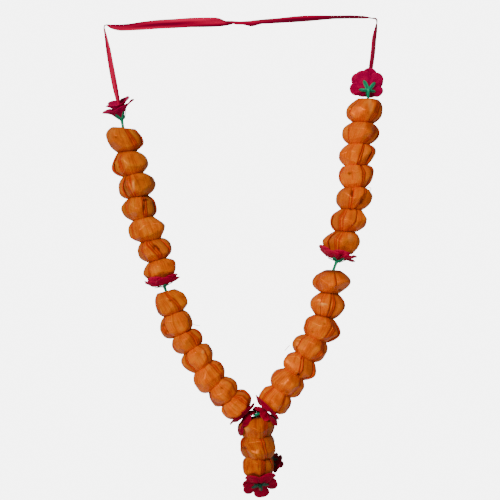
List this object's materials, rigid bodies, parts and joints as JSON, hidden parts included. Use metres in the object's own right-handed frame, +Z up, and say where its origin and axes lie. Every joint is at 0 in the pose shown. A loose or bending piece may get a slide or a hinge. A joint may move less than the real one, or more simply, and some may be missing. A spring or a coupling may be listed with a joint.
{
  "type": "artificial marigold garland",
  "caption": "Artificial marigold garland: beads folded from orange leaf strip and red cloth flowers in two strands that join in a short pendant, closed by a satin ribbon.",
  "frame": {"origin": "underside of the neck ribbon at the middle of its top run, where a hook or peg takes it", "axes": "+X to the viewer's right, +Z up, -Y towards the viewer; the garland hangs in the X-Z plane"},
  "size_m": [0.3516, 0.0545, 0.604],
  "materials": {
    "dyed_leaf_strip": "dyed palm-leaf strip with a satin sheen and fine lengthwise grain",
    "red_cloth": "matt stiffened cloth",
    "green_plastic": "moulded soft plastic",
    "satin_ribbon": "satin weave",
    "cotton_cord": "twisted cotton"
  },
  "bodies": {
    "root": {"bead_left_01": "dyed_leaf_strip", "bead_left_02": "dyed_leaf_strip", "bead_left_03": "dyed_leaf_strip", "bead_left_04": "dyed_leaf_strip", "bead_left_05": "dyed_leaf_strip", "bead_left_06": "dyed_leaf_strip", "bead_left_07": "dyed_leaf_strip", "bead_left_08": "dyed_leaf_strip", "bead_left_09": "dyed_leaf_strip", "bead_left_10": "dyed_leaf_strip", "bead_left_11": "dyed_leaf_strip", "bead_left_12": "dyed_leaf_strip", "bead_left_13": "dyed_leaf_strip", "bead_left_14": "dyed_leaf_strip", "bead_right_01": "dyed_leaf_strip", "bead_right_02": "dyed_leaf_strip", "bead_right_03": "dyed_leaf_strip", "bead_right_04": "dyed_leaf_strip", "bead_right_05": "dyed_leaf_strip", "bead_right_06": "dyed_leaf_strip", "bead_right_07": "dyed_leaf_strip", "bead_right_08": "dyed_leaf_strip", "bead_right_09": "dyed_leaf_strip", "bead_right_10": "dyed_leaf_strip", "bead_right_11": "dyed_leaf_strip", "bead_right_12": "dyed_leaf_strip", "bead_right_13": "dyed_leaf_strip", "bead_right_14": "dyed_leaf_strip", "bead_pendant_01": "dyed_leaf_strip", "bead_pendant_02": "dyed_leaf_strip", "bead_pendant_03": "dyed_leaf_strip", "flower_left_top_petals": "red_cloth", "flower_left_top_calyx": "green_plastic", "flower_right_top_petals": "red_cloth", "flower_right_top_calyx": "green_plastic", "flower_left_middle_petals": "red_cloth", "flower_left_middle_calyx": "green_plastic", "flower_right_middle_petals": "red_cloth", "flower_right_middle_calyx": "green_plastic", "flower_left_end_petals": "red_cloth", "flower_left_end_calyx": "green_plastic", "flower_right_end_petals": "red_cloth", "flower_right_end_calyx": "green_plastic", "flower_pendant_end_petals": "red_cloth", "flower_pendant_end_calyx": "green_plastic", "flower_pendant_side_petals": "red_cloth", "flower_pendant_side_calyx": "green_plastic", "cord_left": "cotton_cord", "cord_right": "cotton_cord", "cord_pendant": "cotton_cord", "neck_ribbon": "satin_ribbon"}
  },
  "joints": []
}
